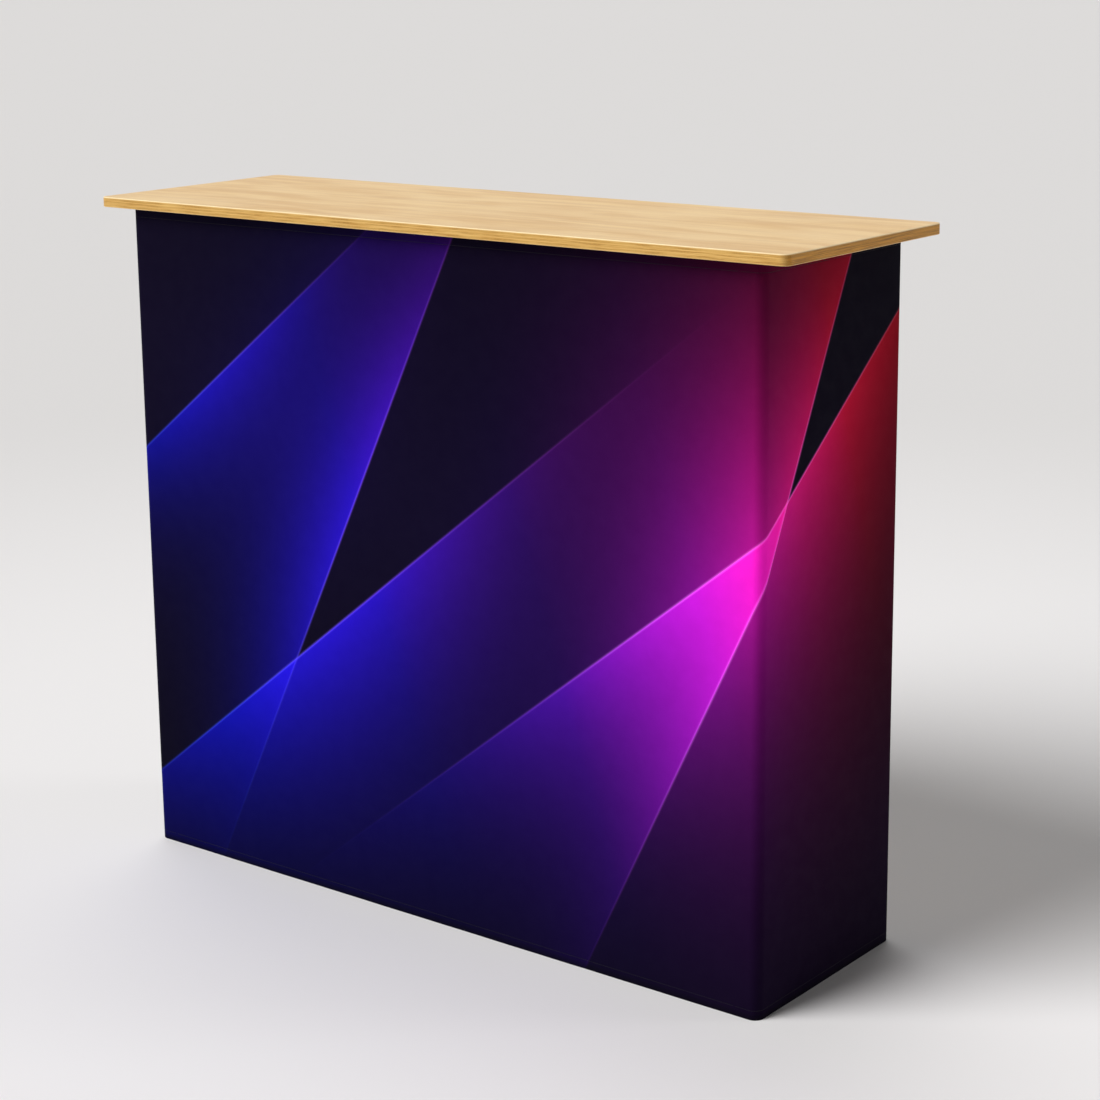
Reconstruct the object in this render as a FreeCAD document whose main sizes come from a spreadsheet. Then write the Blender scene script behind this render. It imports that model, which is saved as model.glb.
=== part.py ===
import FreeCAD, Part
import math
import os
import Sketcher
from types import SimpleNamespace

# Free-standing display counter: a plywood worktop on a folding aluminium frame with a hinged shelf,
# wrapped in one stretched sheet of printed fabric. The frame stands on the floor at z = 0, the front
# faces -Y and the origin is the middle of the footprint. Lengths are in millimetres.

SIZES = {
    # Overall sizes of the counter and its worktop
    "counter_width": 1125,
    "counter_depth": 342,
    "counter_height": 1000,
    "worktop_end_overhang": 45,
    "worktop_side_overhang": 20,
    "worktop_thick": 15,
    "worktop_corner_radius": 12,
    "worktop_edge_radius": 1.2,
    # Fabric sheet and the tape that holds it
    "fabric_thick": 1,
    "fabric_slack": 0.1,
    "fabric_side_gap": 0.3,
    "fabric_corner_radius": 15,
    "fabric_hem_height": 1,
    "fabric_top_gap": 0.5,
    "fabric_return": 38,
    "tape_width": 18,
    "tape_thick": 1.2,
    "tape_margin": 1,
    "tape_end_margin": 12,
    # End frames
    "post_size": 38,
    "post_wall": 1.8,
    "post_corner_radius": 13,
    "post_edge_radius": 1.5,
    "rail_width": 25,
    "rail_height": 30,
    "rail_wall": 1.5,
    "rail_edge_radius": 2,
    "rail_setback": 14,
    "shelf_axis_height": 480,
    # Plastic plugs in the post ends and the pads between cap and worktop
    "glide_flange": 6,
    "glide_plug": 12,
    "cap_flange": 3,
    "cap_plug": 10,
    "plug_clearance": 0.2,
    "pad_size": 26,
    "hook_pad_thick": 1.5,
    "loop_pad_thick": 1.5,
    # Flat stays, hinged at both ends and in the middle
    "stay_height": 20,
    "stay_thick": 5,
    "lane_gap": 0.5,
    "pivot_standoff": 24,
    "top_stay_inset": 2.7,
    "bottom_stay_inset": 18.7,
    "shelf_stay_inset": 63.7,
    "pivot_radius": 4,
    "pivot_head_radius": 7,
    "pivot_crown_radius": 5,
    "pivot_head_thick": 2,
    "pivot_head_play": 0.1,
    "pivot_clearance": 0.1,
    "open_pivot_clearance": 0.3,
    # Brackets on the end frames and their blind rivets
    "bracket_width": 22,
    "bracket_height": 28,
    "bracket_plate_thick": 4,
    "bracket_corner_radius": 3,
    "bracket_rivet_pitch": 16,
    "rivet_radius": 2,
    "rivet_head_radius": 4,
    "rivet_crown_radius": 2.5,
    "rivet_head_thick": 1.5,
    "rivet_tail_radius": 2.8,
    "rivet_tail_length": 4,
    "rivet_clearance": 0.1,
    # Two shelf boards on angles riveted to their stays
    "shelf_depth": 256,
    "shelf_thick": 10,
    "shelf_corner_radius": 4,
    "shelf_edge_radius": 0.8,
    "shelf_clearance": 0.5,
    "shelf_end_gap": 12,
    "shelf_butt_gap": 0.4,
    "angle_length": 360,
    "angle_width": 18,
    "angle_drop": 6,
    "angle_thick": 2,
    "screw_radius": 1.75,
    "screw_head_radius": 3.5,
    "screw_crown_radius": 2.2,
    "screw_head_thick": 2,
    "screw_bite": 7,
    # Depth that a cut runs past the face it leaves by
    "cut_overrun": 1,
}

# Places of the rivets and of the screws along an angle, from its middle, as shares of its length
ANGLE_RIVET_SHARES = (-0.4, 0, 0.4)
ANGLE_SCREW_SHARES = (-0.3, 0.1, 0.3)

LEFT, RIGHT = -1, 1
FRONT, REAR = -1, 1
SIDE_NAMES = {LEFT: "left", RIGHT: "right"}
QUARTER_TURN = 90
HALF_TURN = 180

doc = FreeCAD.newDocument("DisplayCounter")
sheet = doc.addObject("Spreadsheet::Sheet", "Sizes")
for row, (alias, number) in enumerate(SIZES.items(), start=1):
    sheet.set(f"A{row}", alias)
    sheet.set(f"B{row}", str(number))
    sheet.setAlias(f"B{row}", alias)
doc.recompute()


class Size:
    """A length worked out from the sheet: its formula for the document and what it comes to."""

    def __init__(self, formula, value):
        self.formula = formula
        self.value = value

    def __add__(self, other):
        return Size(f"({self.formula} + {other.formula})", self.value + other.value)

    def __sub__(self, other):
        return Size(f"({self.formula} - {other.formula})", self.value - other.value)

    def __mul__(self, factor):
        return Size(f"({self.formula} * ({factor}))", self.value * factor)

    def __truediv__(self, divisor):
        return Size(f"({self.formula} / ({divisor}))", self.value / divisor)

    def __neg__(self):
        return self * -1


ZERO = Size("0", 0)
size = SimpleNamespace(**{alias: Size(f"Sizes.{alias}", sheet.get(alias)) for alias in SIZES})
nodes = []


def bind(item, prop, length):
    """Tie one property of an object to a formula of the sheet."""
    item.setExpression(prop, length.formula)


def between(one, other):
    """The two places in rising order."""
    return (one, other) if one.value <= other.value else (other, one)


def keep(item, label):
    """Name a finished piece, or several like pieces as one group, and keep it for writing."""
    if isinstance(item, list):
        members = item
        item = doc.addObject("Part::Compound", label)
        item.Links = members
    item.Label = label
    nodes.append(item)


# Part primitives


def block(name, xs, ys, zs):
    """Box between two places on each axis."""
    item = doc.addObject("Part::Box", name)
    for axis, side, (low, high) in zip("xyz", ("Length", "Width", "Height"), (xs, ys, zs)):
        bind(item, side, high - low)
        bind(item, f"Placement.Base.{axis}", low)
    return item


TURNS = {
    ("x", 1): FreeCAD.Rotation(FreeCAD.Vector(0, 1, 0), QUARTER_TURN),
    ("x", -1): FreeCAD.Rotation(FreeCAD.Vector(0, 1, 0), -QUARTER_TURN),
    ("y", 1): FreeCAD.Rotation(FreeCAD.Vector(1, 0, 0), -QUARTER_TURN),
    ("y", -1): FreeCAD.Rotation(FreeCAD.Vector(1, 0, 0), QUARTER_TURN),
    ("z", 1): FreeCAD.Rotation(),
    ("z", -1): FreeCAD.Rotation(FreeCAD.Vector(1, 0, 0), HALF_TURN),
}


def rod(name, axis, way, start, radius, length, end_radius=None):
    """Round bar from a point, along an axis either way, tapered where it has an end radius."""
    item = doc.addObject("Part::Cone" if end_radius else "Part::Cylinder", name)
    item.Placement = FreeCAD.Placement(FreeCAD.Vector(), TURNS[axis, way])
    bind(item, "Radius1" if end_radius else "Radius", radius)
    if end_radius:
        bind(item, "Radius2", end_radius)
    bind(item, "Height", length)
    for letter, place in zip("xyz", start):
        bind(item, f"Placement.Base.{letter}", place)
    return item


def fuse(name, members):
    """One solid from several that meet."""
    item = doc.addObject("Part::MultiFuse", name)
    item.Shapes = members
    return item


def cut(name, base, tools):
    """A solid less the tools."""
    item = doc.addObject("Part::Cut", name)
    item.Base = base
    item.Tool = tools[0] if len(tools) == 1 else fuse(f"{name}_tools", tools)
    return item


def stepped_pin(name, axis, way, start, steps):
    """Rivet or screw: round lengths end to end, each a radius, a length and perhaps an end radius."""
    lengths = []
    place = dict(zip("xyz", start))
    for number, step in enumerate(steps):
        lengths.append(rod(f"{name}_{number}", axis, way, place.values(), *step))
        place[axis] = place[axis] + step[1] * way
    return fuse(name, lengths)


# Sketched bodies

PLANES = {"x": "YZ_Plane", "y": "XZ_Plane", "z": "XY_Plane"}


def tie(sketch, constraint, length):
    """Add a dimension to a sketch and tie it to the sheet."""
    number = sketch.addConstraint(constraint)
    bind(sketch, f"Constraints[{number}]", length)


def tie_point(sketch, geometry, vertex, point):
    """Fix a point of a sketch by its distances from the origin."""
    for kind, length in zip(("DistanceX", "DistanceY"), point):
        tie(sketch, Sketcher.Constraint(kind, -1, 1, geometry, vertex, length.value), length)


def draw_outline(sketch, steps):
    """Closed outline. Each step ends at (x, y), straight or with (x, y), centre and turn as an arc."""
    runs = []
    start = steps[-1][0]
    for end, *bend in steps:
        points = [FreeCAD.Vector(x.value, y.value, 0) for x, y in (start, end)]
        if bend:
            centre, turn = bend
            middle = FreeCAD.Vector(centre[0].value, centre[1].value, 0)
            circle = Part.Circle(middle, FreeCAD.Vector(0, 0, 1), (points[0] - middle).Length)
            angles = [math.atan2(point.y - middle.y, point.x - middle.x) for point in points[::turn]]
            edge = sketch.addGeometry(Part.ArcOfCircle(circle, *angles), False)
            vertices = (1, 2)[::turn]
        else:
            edge = sketch.addGeometry(Part.LineSegment(*points), False)
            vertices = (1, 2)
        runs.append((edge, vertices, end, bend))
        start = end
    for (edge, vertices, end, bend), (after, after_vertices, _, _) in zip(runs, runs[1:] + runs[:1]):
        sketch.addConstraint(Sketcher.Constraint("Coincident", edge, vertices[1], after, after_vertices[0]))
        tie_point(sketch, edge, vertices[1], end)
        if bend:
            across = bend[0][0]
            tie(sketch, Sketcher.Constraint("DistanceX", -1, 1, edge, 3, across.value), across)


def draw_circle(sketch, centre, radius):
    """Round hole in a sketch."""
    middle = FreeCAD.Vector(centre[0].value, centre[1].value, 0)
    edge = sketch.addGeometry(Part.Circle(middle, FreeCAD.Vector(0, 0, 1), radius.value), False)
    tie_point(sketch, edge, 3, centre)
    tie(sketch, Sketcher.Constraint("Radius", edge, radius.value), radius)


def new_sketch(body, name, axis, place):
    """Sketch across an axis, at a place on it. The XZ plane faces -Y, so that place is turned round."""
    sketch = body.newObject("Sketcher::SketchObject", name)
    plane = next(item for item in body.Origin.OriginFeatures if item.Role == PLANES[axis])
    sketch.AttachmentSupport = [(plane, "")]
    sketch.MapMode = "FlatFace"
    bind(sketch, "AttachmentOffset.Base.z", -place if axis == "y" else place)
    return sketch


def pad(body, name, axis, span, outlines, holes=()):
    """Outline with its holes, drawn out along an axis from one place to another."""
    low, high = span
    sketch = new_sketch(body, f"{name}_sketch", axis, high if axis == "y" else low)
    for steps in outlines:
        draw_outline(sketch, steps)
    for centre, radius in holes:
        draw_circle(sketch, centre, radius)
    feature = body.newObject("PartDesign::Pad", f"{name}_pad")
    feature.Profile = sketch
    bind(feature, "Length", high - low)
    return feature


def prism(name, axis, span, outlines, holes=()):
    """Body with one pad."""
    body = doc.addObject("PartDesign::Body", name)
    pad(body, name, axis, span, outlines, holes)
    return body


def drill(body, name, side, face, depth, holes):
    """Round holes into a face that looks along X, from the middle of the counter outwards."""
    doc.recompute()
    volume = body.Shape.Volume
    sketch = new_sketch(body, f"{name}_sketch", "x", face)
    for centre, radius in holes:
        draw_circle(sketch, centre, radius)
    feature = body.newObject("PartDesign::Pocket", f"{name}_pocket")
    feature.Profile = sketch
    feature.Reversed = side == RIGHT
    bind(feature, "Length", depth)
    doc.recompute()
    if body.Shape.Volume >= volume:
        raise RuntimeError(f"{name}: the holes cut nothing")


def rounded(xs, ys, radii):
    """Rectangle with a radius for each corner, or None, anticlockwise from the low corner."""
    steps = []
    inwards = ((1, 1), (-1, 1), (-1, -1), (1, -1))
    for number, ((right, up), radius) in enumerate(zip(inwards, radii)):
        x = xs[0] if right > 0 else xs[1]
        y = ys[0] if up > 0 else ys[1]
        if radius is None:
            steps.append(((x, y),))
            continue
        centre = (x + radius * right, y + radius * up)
        ends = [(x, centre[1]), (centre[0], y)]
        if number % 2:
            ends.reverse()
        steps.append((ends[0],))
        steps.append((ends[1], centre, 1))
    return steps


def eased_board(name, xs, ys, span, corner_radius, edge_radius):
    """Flat board with round corners, its top and bottom edges eased."""
    body = doc.addObject("PartDesign::Body", name)
    board = pad(body, name, "z", span, [rounded(xs, ys, [corner_radius] * 4)])
    doc.recompute()
    faces = enumerate(board.Shape.Faces, start=1)
    flat_faces = [f"Face{number}" for number, face in faces if abs(face.normalAt(0, 0).z) > 1 / 2]
    easing = body.newObject("PartDesign::Fillet", f"{name}_easing")
    easing.Base = (board, flat_faces)
    bind(easing, "Radius", edge_radius)
    return body


# Places that the pieces share

frame_half_width = size.counter_width / 2 - size.fabric_thick - size.fabric_side_gap
frame_half_depth = size.counter_depth / 2 - size.fabric_thick - size.fabric_slack - size.tape_thick
inner_face = frame_half_width - size.post_size
post_back = frame_half_depth - size.post_size
pivot_place = inner_face - size.pivot_standoff
post_bottom = size.glide_flange
hook_pad_top = size.counter_height - size.loop_pad_thick
cap_top = hook_pad_top - size.hook_pad_thick
post_top = cap_top - size.cap_flange
top_axis = post_top - size.rail_setback - size.rail_height / 2
bottom_axis = post_bottom + size.rail_setback + size.rail_height / 2
shelf_axis = size.shelf_axis_height
stay_rise = size.stay_height / 2
shelf_bottom = shelf_axis + stay_rise + size.shelf_clearance
rivet_hole_radius = size.rivet_radius + size.rivet_clearance

# Pairs of stays: name, front or rear, lane's distance in from the post's outer face, axis height and
# which way along Y the foot of the bracket lies from its ear: 1 is away from the middle
STAY_PAIRS = (
    ("front_top", FRONT, size.top_stay_inset, top_axis, -1),
    ("rear_top", REAR, size.top_stay_inset, top_axis, -1),
    ("front_bottom", FRONT, size.bottom_stay_inset, bottom_axis, 1),
    ("shelf_front", FRONT, size.shelf_stay_inset, shelf_axis, -1),
    ("shelf_rear", REAR, size.shelf_stay_inset, shelf_axis, -1),
)


def lane(inset, number):
    """Inner and outer faces of a stay's lane, as distances from the middle plane."""
    outer = frame_half_depth - inset - (size.stay_thick + size.lane_gap) * number
    return outer - size.stay_thick, outer


def stay_lane(inset, side):
    """The left stays run in the outer lane and the right ones in the inner lane."""
    return lane(inset, 0 if side == LEFT else 1)


def ear_lane(inset, side):
    """A bracket's ear takes the lane that its stay leaves free."""
    return lane(inset, 1 if side == LEFT else 0)


# End frames: posts and rails of hollow section, welded where they meet


def post_outline(side, end, inset):
    """Section of a post, round towards the fabric's corner and set in from its faces."""
    xs = between((inner_face + inset) * side, (frame_half_width - inset) * side)
    ys = between((post_back + inset) * end, (frame_half_depth - inset) * end)
    radii = [None if inset.value else size.post_edge_radius] * 4
    outer_corner = {(LEFT, FRONT): 0, (RIGHT, FRONT): 1, (RIGHT, REAR): 2, (LEFT, REAR): 3}[side, end]
    radii[outer_corner] = size.post_corner_radius - inset
    return rounded(xs, ys, radii)


def bracket_foot(inset, side, way):
    """Inner and outer edges of a bracket's foot and its rivets' line, from the middle plane."""
    inner, outer = ear_lane(inset, side)
    start = inner if way > 0 else outer
    far = start + size.bracket_width * way
    rivet_line = far - (size.bracket_width - size.stay_thick) / 2 * way
    return between(start, far), rivet_line


def bracket_holes(side, pairs):
    """Rivet holes in a post or rail for the brackets of these pairs, in the YZ plane."""
    holes = []
    for name, end, inset, axis, way in pairs:
        line = bracket_foot(inset, side, way)[1] * end
        for rise in (-1, 1):
            holes.append(((line, axis + size.bracket_rivet_pitch / 2 * rise), rivet_hole_radius))
    return holes


def make_post(side, end, name, pairs):
    """Hollow post with the holes of its brackets in the face towards the middle."""
    outlines = [post_outline(side, end, ZERO), post_outline(side, end, size.post_wall)]
    body = prism(name, "z", (post_bottom, post_top), outlines)
    depth = size.post_wall + size.cut_overrun
    drill(body, f"{name}_holes", side, inner_face * side, depth, bracket_holes(side, pairs))
    keep(body, name)


def make_rail(side, name, axis, pairs):
    """Hollow rail between the posts, level with their inner faces."""
    outlines = []
    for inset, radius in ((ZERO, size.rail_edge_radius), (size.rail_wall, None)):
        xs = between((inner_face + inset) * side, (inner_face + size.rail_width - inset) * side)
        zs = (axis - size.rail_height / 2 + inset, axis + size.rail_height / 2 - inset)
        outlines.append(rounded(xs, zs, [radius] * 4))
    body = prism(name, "y", (-post_back, post_back), outlines)
    if pairs:
        depth = size.rail_wall + size.cut_overrun
        drill(body, f"{name}_holes", side, inner_face * side, depth, bracket_holes(side, pairs))
    keep(body, name)


def make_end_plug(side, end, name, flange, plug):
    """Moulded plug that fills the end of a post, with a flange of the post's outline."""
    body = prism(name, "z", flange, [post_outline(side, end, ZERO)])
    pad(body, f"{name}_plug", "z", plug, [post_outline(side, end, size.post_wall + size.plug_clearance)])
    return body


def pad_block(name, side, end, zs):
    """Square pad over the middle of a post."""
    half = size.pad_size / 2
    x = (frame_half_width - size.post_size / 2) * side
    y = (frame_half_depth - size.post_size / 2) * end
    return block(name, (x - half, x + half), (y - half, y + half), zs)


def tape_block(name, side, end):
    """Hook tape on the flat of a post that faces the fabric."""
    start = inner_face + size.tape_margin
    xs = between(start * side, (start + size.tape_width) * side)
    ys = between(frame_half_depth * end, (frame_half_depth + size.tape_thick) * end)
    return block(name, xs, ys, (post_bottom + size.tape_end_margin, post_top - size.tape_end_margin))


def make_bracket(name, side, end, inset, axis, way):
    """Foot riveted to a post or rail, and a round-ended ear for the pivot."""
    foot_edges, rivet_line = bracket_foot(inset, side, way)
    foot_xs = between(inner_face * side, (inner_face - size.bracket_plate_thick) * side)
    foot_ys = between(foot_edges[0] * end, foot_edges[1] * end)
    foot_rise = size.bracket_height / 2
    foot_zs = (axis - foot_rise, axis + foot_rise)
    foot_outline = rounded(foot_ys, foot_zs, [size.bracket_corner_radius] * 4)
    foot = prism(f"{name}_foot", "x", foot_xs, [foot_outline])
    inner, outer = ear_lane(inset, side)
    ear_ys = between(inner * end, outer * end)
    ear_xs = between(inner_face * side, pivot_place * side)
    ear = block(f"{name}_ear", ear_xs, ear_ys, (axis - stay_rise, axis + stay_rise))
    tip_start = (pivot_place * side, ear_ys[0], axis)
    tip = rod(f"{name}_tip", "y", 1, tip_start, stay_rise, size.stay_thick)
    solid = fuse(f"{name}_solid", [foot, ear, tip])
    hole_start = (pivot_place * side, ear_ys[0] - size.cut_overrun, axis)
    hole_length = size.stay_thick + size.cut_overrun * 2
    tools = [rod(f"{name}_eye", "y", 1, hole_start, size.pivot_radius + size.pivot_clearance, hole_length)]
    for rise in (-1, 1):
        height = axis + size.bracket_rivet_pitch / 2 * rise
        start = ((inner_face + size.cut_overrun) * side, rivet_line * end, height)
        length = size.bracket_plate_thick + size.cut_overrun * 2
        tools.append(rod(f"{name}_hole_{rise + 1}", "x", -side, start, rivet_hole_radius, length))
    return cut(name, solid, tools)


def bracket_rivets(name, side, end, inset, axis, way, wall):
    """Two blind rivets, headed on the bracket's foot and spread inside the post or rail."""
    rivet_line = bracket_foot(inset, side, way)[1]
    steps = (
        (size.rivet_crown_radius, size.rivet_head_thick, size.rivet_head_radius),
        (size.rivet_radius, size.bracket_plate_thick + wall),
        (size.rivet_tail_radius, size.rivet_tail_length),
    )
    head_top = inner_face - size.bracket_plate_thick - size.rivet_head_thick
    rivets = []
    for rise in (-1, 1):
        start = (head_top * side, rivet_line * end, axis + size.bracket_rivet_pitch / 2 * rise)
        rivets.append(stepped_pin(f"{name}_{rise + 1}", "x", side, start, steps))
    return rivets


def pivot_rivet(name, x, end, inset, axis):
    """Rivet through both lanes, with a head outside each."""
    outer = lane(inset, 0)[1]
    grip = size.stay_thick * 2 + size.lane_gap + size.pivot_head_play * 2
    steps = (
        (size.pivot_crown_radius, size.pivot_head_thick, size.pivot_head_radius),
        (size.pivot_radius, grip),
        (size.pivot_head_radius, size.pivot_head_thick, size.pivot_crown_radius),
    )
    head_top = outer + size.pivot_head_play + size.pivot_head_thick
    return stepped_pin(name, "y", -end, (x, head_top * end, axis), steps)


def make_end_frame(side):
    """Everything that moves with one end of the counter."""
    hand = SIDE_NAMES[side]
    on_front_post = [pair for pair in STAY_PAIRS if pair[0] in ("front_top", "front_bottom")]
    on_rear_post = [pair for pair in STAY_PAIRS if pair[0] == "rear_top"]
    on_shelf_rail = [pair for pair in STAY_PAIRS if pair[0] in ("shelf_front", "shelf_rear")]
    make_post(side, FRONT, f"{hand}_front_post", on_front_post)
    make_post(side, REAR, f"{hand}_rear_post", on_rear_post)
    make_rail(side, f"{hand}_top_rail", top_axis, [])
    make_rail(side, f"{hand}_shelf_rail", shelf_axis, on_shelf_rail)
    make_rail(side, f"{hand}_bottom_rail", bottom_axis, [])
    cap_spans = ((post_top, cap_top), (post_top - size.cap_plug, post_top))
    glide_spans = ((ZERO, post_bottom), (post_bottom, post_bottom + size.glide_plug))
    caps, glides, tapes, pads = [], [], [], []
    for end, place in ((FRONT, "front"), (REAR, "rear")):
        caps.append(make_end_plug(side, end, f"{hand}_{place}_cap", *cap_spans))
        glides.append(make_end_plug(side, end, f"{hand}_{place}_glide", *glide_spans))
        tapes.append(tape_block(f"{hand}_{place}_tape", side, end))
        pads.append(pad_block(f"{hand}_{place}_hook_pad", side, end, (cap_top, hook_pad_top)))
    keep(caps, f"{hand}_post_caps")
    keep(glides, f"{hand}_foot_glides")
    keep(tapes, f"{hand}_hook_tapes")
    keep(pads, f"{hand}_hook_pads")
    brackets, rivets, pivots = [], [], []
    for name, end, inset, axis, way in STAY_PAIRS:
        wall = size.rail_wall if name.startswith("shelf") else size.post_wall
        brackets.append(make_bracket(f"{hand}_{name}_bracket", side, end, inset, axis, way))
        rivets += bracket_rivets(f"{hand}_{name}_rivet", side, end, inset, axis, way, wall)
        pivots.append(pivot_rivet(f"{hand}_{name}_pivot", pivot_place * side, end, inset, axis))
    keep(brackets, f"{hand}_brackets")
    keep(rivets, f"{hand}_bracket_rivets")
    keep(pivots, f"{hand}_pivot_rivets")


# Stays: flat bars with round ends, in pairs that lap at the middle of the counter


def angle_place(side, share):
    """Place along X of a rivet or screw in a shelf angle."""
    return pivot_place / 2 * side + size.angle_length * share


def make_stay(name, side, end, inset, axis, end_clearance, rivet_shares=()):
    """Bar from a pivot at an end frame to the middle pivot."""
    xs = between(pivot_place * side, ZERO)
    low, high = axis - stay_rise, axis + stay_rise
    steps = [
        ((xs[0], low), (xs[0], axis), 1),
        ((xs[1], low),),
        ((xs[1], high), (xs[1], axis), 1),
        ((xs[0], high),),
    ]
    holes = [
        ((pivot_place * side, axis), size.pivot_radius + end_clearance),
        ((ZERO, axis), size.pivot_radius + size.pivot_clearance),
    ]
    holes += [((angle_place(side, share), axis), rivet_hole_radius) for share in rivet_shares]
    inner, outer = stay_lane(inset, side)
    return prism(name, "y", between(inner * end, outer * end), [steps], holes)


def make_plain_stays(pair):
    """Two stays with nothing on them and the rivet that hinges them together."""
    name, end, inset, axis, way = pair
    for side, clearance in ((LEFT, size.pivot_clearance), (RIGHT, size.open_pivot_clearance)):
        label = f"{name}_{SIDE_NAMES[side]}_stay"
        keep(make_stay(label, side, end, inset, axis, clearance), label)
    rivet_label = f"{name}_centre_rivet"
    keep(pivot_rivet(rivet_label, ZERO, end, inset, axis), rivet_label)


# Shelf: a board on each half, carried by angles on the outer faces of its two stays


def angle_face(inset, side):
    """The stay's face that takes its angle, and the way that the angle's flange points from it."""
    inner, outer = stay_lane(inset, side)
    return (outer, 1) if side == LEFT else (inner, -1)


def screw_line(inset, side):
    """Middle of the angle's flange, from the middle plane."""
    face, way = angle_face(inset, side)
    return face + (size.angle_width + size.angle_thick) / 2 * way


def make_angle(name, side, end, inset):
    """Angle with its upright leg on a stay and its flange under the board."""
    face, way = angle_face(inset, side)
    middle = angle_place(side, 0)
    xs = (middle - size.angle_length / 2, middle + size.angle_length / 2)
    leg_ys = between(face * end, (face + size.angle_thick * way) * end)
    flange_ys = between(face * end, (face + size.angle_width * way) * end)
    leg = block(f"{name}_leg", xs, leg_ys, (shelf_axis - size.angle_drop, shelf_bottom))
    flange = block(f"{name}_flange", xs, flange_ys, (shelf_bottom - size.angle_thick, shelf_bottom))
    through = size.angle_thick + size.cut_overrun * 2
    tools = []
    for number, share in enumerate(ANGLE_RIVET_SHARES):
        start = (angle_place(side, share), leg_ys[0] - size.cut_overrun, shelf_axis)
        tools.append(rod(f"{name}_rivet_hole_{number}", "y", 1, start, rivet_hole_radius, through))
    for number, share in enumerate(ANGLE_SCREW_SHARES):
        low = shelf_bottom - size.angle_thick - size.cut_overrun
        start = (angle_place(side, share), screw_line(inset, side) * end, low)
        radius = size.screw_radius + size.rivet_clearance
        tools.append(rod(f"{name}_screw_hole_{number}", "z", 1, start, radius, through))
    return cut(name, fuse(f"{name}_solid", [leg, flange]), tools)


def angle_rivets(name, side, end, inset):
    """Rivets headed on the angle's leg and peened flush with the stay's far face."""
    face, way = angle_face(inset, side)
    head_top = face + (size.angle_thick + size.rivet_head_thick) * way
    steps = (
        (size.rivet_crown_radius, size.rivet_head_thick, size.rivet_head_radius),
        (size.rivet_radius, size.angle_thick + size.stay_thick),
    )
    rivets = []
    for number, share in enumerate(ANGLE_RIVET_SHARES):
        start = (angle_place(side, share), head_top * end, shelf_axis)
        rivets.append(stepped_pin(f"{name}_{number}", "y", -way * end, start, steps))
    return rivets


def shelf_screws(name, side, end, inset):
    """Screws up through the angle's flange into the board."""
    start_height = shelf_bottom - size.angle_thick - size.screw_head_thick
    steps = (
        (size.screw_crown_radius, size.screw_head_thick, size.screw_head_radius),
        (size.screw_radius, size.angle_thick + size.screw_bite),
    )
    screws = []
    for number, share in enumerate(ANGLE_SCREW_SHARES):
        start = (angle_place(side, share), screw_line(inset, side) * end, start_height)
        screws.append(stepped_pin(f"{name}_{number}", "z", 1, start, steps))
    return screws


def make_board(name, side, pairs):
    """Half of the shelf, with pilot holes for its screws."""
    xs = between((pivot_place - size.shelf_end_gap) * side, size.shelf_butt_gap / 2 * side)
    ys = (-size.shelf_depth / 2, size.shelf_depth / 2)
    span = (shelf_bottom, shelf_bottom + size.shelf_thick)
    plain = eased_board(f"{name}_plain", xs, ys, span, size.shelf_corner_radius, size.shelf_edge_radius)
    tools = []
    for pair_name, end, inset, axis, way in pairs:
        for number, share in enumerate(ANGLE_SCREW_SHARES):
            low = shelf_bottom - size.cut_overrun
            start = (angle_place(side, share), screw_line(inset, side) * end, low)
            radius = size.screw_radius + size.rivet_clearance
            depth = size.screw_bite + size.cut_overrun * 2
            tools.append(rod(f"{name}_{pair_name}_pilot_{number}", "z", 1, start, radius, depth))
    keep(cut(name, plain, tools), name)


def make_shelf(pairs):
    """Both halves of the shelf and the rivets that hinge them together."""
    for side in (LEFT, RIGHT):
        half = f"shelf_{SIDE_NAMES[side]}"
        stays, angles, rivets, screws = [], [], [], []
        for name, end, inset, axis, way in pairs:
            label = f"{name}_{SIDE_NAMES[side]}"
            clearance = size.pivot_clearance
            stays.append(make_stay(f"{label}_stay", side, end, inset, axis, clearance, ANGLE_RIVET_SHARES))
            angles.append(make_angle(f"{label}_angle", side, end, inset))
            rivets += angle_rivets(f"{label}_angle_rivet", side, end, inset)
            screws += shelf_screws(f"{label}_screw", side, end, inset)
        keep(stays, f"{half}_stays")
        keep(angles, f"{half}_angles")
        keep(rivets, f"{half}_angle_rivets")
        keep(screws, f"{half}_screws")
        make_board(f"{half}_board", side, pairs)
    pivots = [pivot_rivet(f"{name}_centre", ZERO, end, inset, axis) for name, end, inset, axis, way in pairs]
    keep(pivots, "shelf_centre_rivets")


# Fabric: one sheet round the front and both ends, turned in over the rear posts


def wrap_run(inset):
    """Points along the sheet from its left edge to its right edge, with the centre of each bend."""
    half_width, half_depth = size.counter_width / 2, size.counter_depth / 2
    rear = half_depth - inset
    edge = half_width - size.fabric_return
    points = [(-edge, rear)]
    centres = [None]
    for number, (side, end) in enumerate(((LEFT, REAR), (LEFT, FRONT), (RIGHT, FRONT), (RIGHT, REAR))):
        centre = (
            (half_width - size.fabric_corner_radius) * side,
            (half_depth - size.fabric_corner_radius) * end,
        )
        ends = [(centre[0], rear * end), ((half_width - inset) * side, centre[1])]
        if number % 2:
            ends.reverse()
        points += ends
        centres += [None, centre]
    points.append((edge, rear))
    centres.append(None)
    return points, centres


def make_fabric(name):
    """Sheet drawn as its outer face one way and its inner face back again."""
    steps = []
    for point, centre in zip(*wrap_run(ZERO)):
        steps.append((point, centre, 1) if centre else (point,))
    points, centres = wrap_run(size.fabric_thick)
    arriving = centres[1:] + [None]
    for point, centre in reversed(list(zip(points, arriving))):
        steps.append((point, centre, -1) if centre else (point,))
    span = (size.fabric_hem_height, size.counter_height - size.fabric_top_gap)
    keep(prism(name, "z", span, [steps]), name)


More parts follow.
